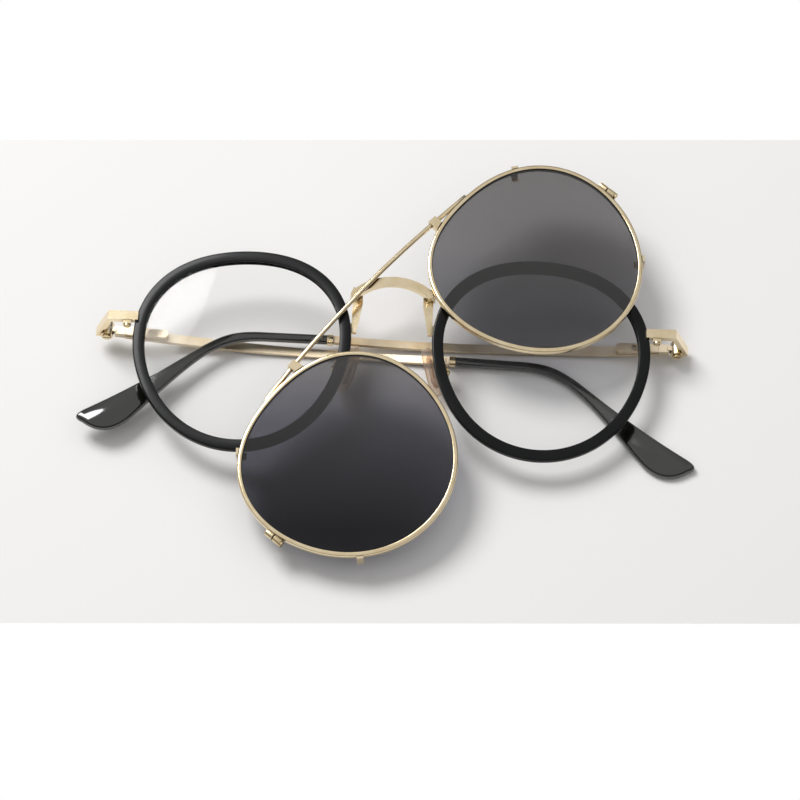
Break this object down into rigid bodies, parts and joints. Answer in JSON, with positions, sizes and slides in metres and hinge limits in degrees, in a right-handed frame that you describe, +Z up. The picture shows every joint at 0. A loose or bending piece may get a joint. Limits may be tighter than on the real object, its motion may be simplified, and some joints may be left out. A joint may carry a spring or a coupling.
{
  "type": "spectacles with clip-on sun lenses",
  "caption": "Round spectacles with black rims, gold bridge and spring hinged temples, lying folded, with a detached clip-on sun lens unit resting across them.",
  "frame": {"origin": "on the table under the middle of the bounding box of the spectacles lying folded with the clip-on across them", "axes": "+X runs along the front to the viewer's right, +Y across the table towards the top of the front, +Z up from the table"},
  "size_m": [0.1422, 0.1019, 0.017],
  "materials": {
    "gold": "champagne gold plating, satin to bright",
    "black_acetate": "polished black",
    "clear_lens": "clear demonstration lens",
    "sun_lens": "grey sun tint",
    "silicone": "clear soft nose pad",
    "pad_core": "copper brown stiffener",
    "spring_steel": "coil spring wire"
  },
  "bodies": {
    "front": {"rim_left": "black_acetate", "rim_right": "black_acetate", "lens_left": "clear_lens", "lens_right": "clear_lens", "bridge": "gold", "endpiece_left": "gold", "endpiece_right": "gold", "rim_screws": "gold", "hinge_screw_left": "gold", "hinge_screw_right": "gold", "pad_arm_left": "gold", "pad_arm_right": "gold", "pad_screws": "gold"},
    "hinge_left": {"hinge_tongue_left": "gold", "spring_left": "spring_steel"},
    "hinge_right": {"hinge_tongue_right": "gold", "spring_right": "spring_steel"},
    "temple_left": {"temple_left": "gold", "tip_ferrule_left": "gold", "temple_tip_left": "black_acetate"},
    "temple_right": {"temple_right": "gold", "tip_ferrule_right": "gold", "temple_tip_right": "black_acetate"},
    "pad_left": {"nose_pad_left": "silicone", "pad_core_left": "pad_core"},
    "pad_right": {"nose_pad_right": "silicone", "pad_core_right": "pad_core"},
    "clip_on": {"clip_rim_left": "gold", "clip_rim_right": "gold", "sun_lens_left": "sun_lens", "sun_lens_right": "sun_lens", "clip_bar": "gold", "clip_lugs": "gold", "clip_hooks_left": "gold", "clip_hooks_right": "gold", "clip_screws": "gold"}
  },
  "joints": [
    {"name": "fold_left", "type": "hinge", "parent": "front", "child": "hinge_left", "pos_m": [-0.06562, 0.00874, 0.005], "axis": [0.0482, 0.9988, 0.0062], "range_deg": [0, 92]},
    {"name": "fold_right", "type": "hinge", "parent": "front", "child": "hinge_right", "pos_m": [0.06696, 0.00898, 0.00281], "axis": [0.0017, -1, -0.007], "range_deg": [0, 92]},
    {"name": "spring_left", "type": "slide", "parent": "hinge_left", "child": "temple_left", "axis": [0.9982, -0.0479, -0.036], "range_m": [0, 0.0012], "stiffness_N_per_m": 500, "springref_m": -0.001},
    {"name": "spring_right", "type": "slide", "parent": "hinge_right", "child": "temple_right", "axis": [-0.9999, -0.0018, 0.0112], "range_m": [0, 0.0012], "stiffness_N_per_m": 500, "springref_m": -0.001},
    {"name": "rock_left", "type": "hinge", "parent": "front", "child": "pad_left", "pos_m": [-0.01081, 0.00036, 0.00571], "axis": [0.4097, -0.1989, 0.8903], "range_deg": [-8, 8]},
    {"name": "rock_right", "type": "hinge", "parent": "front", "child": "pad_right", "pos_m": [0.01224, 0.0004, 0.00533], "axis": [0.3795, 0.2003, -0.9033], "range_deg": [-8, 8]},
    {"name": "lift_clip", "type": "slide", "parent": "front", "child": "clip_on", "axis": [0.014, -0.087, 0.9961], "range_m": [0, 0.03]}
  ]
}
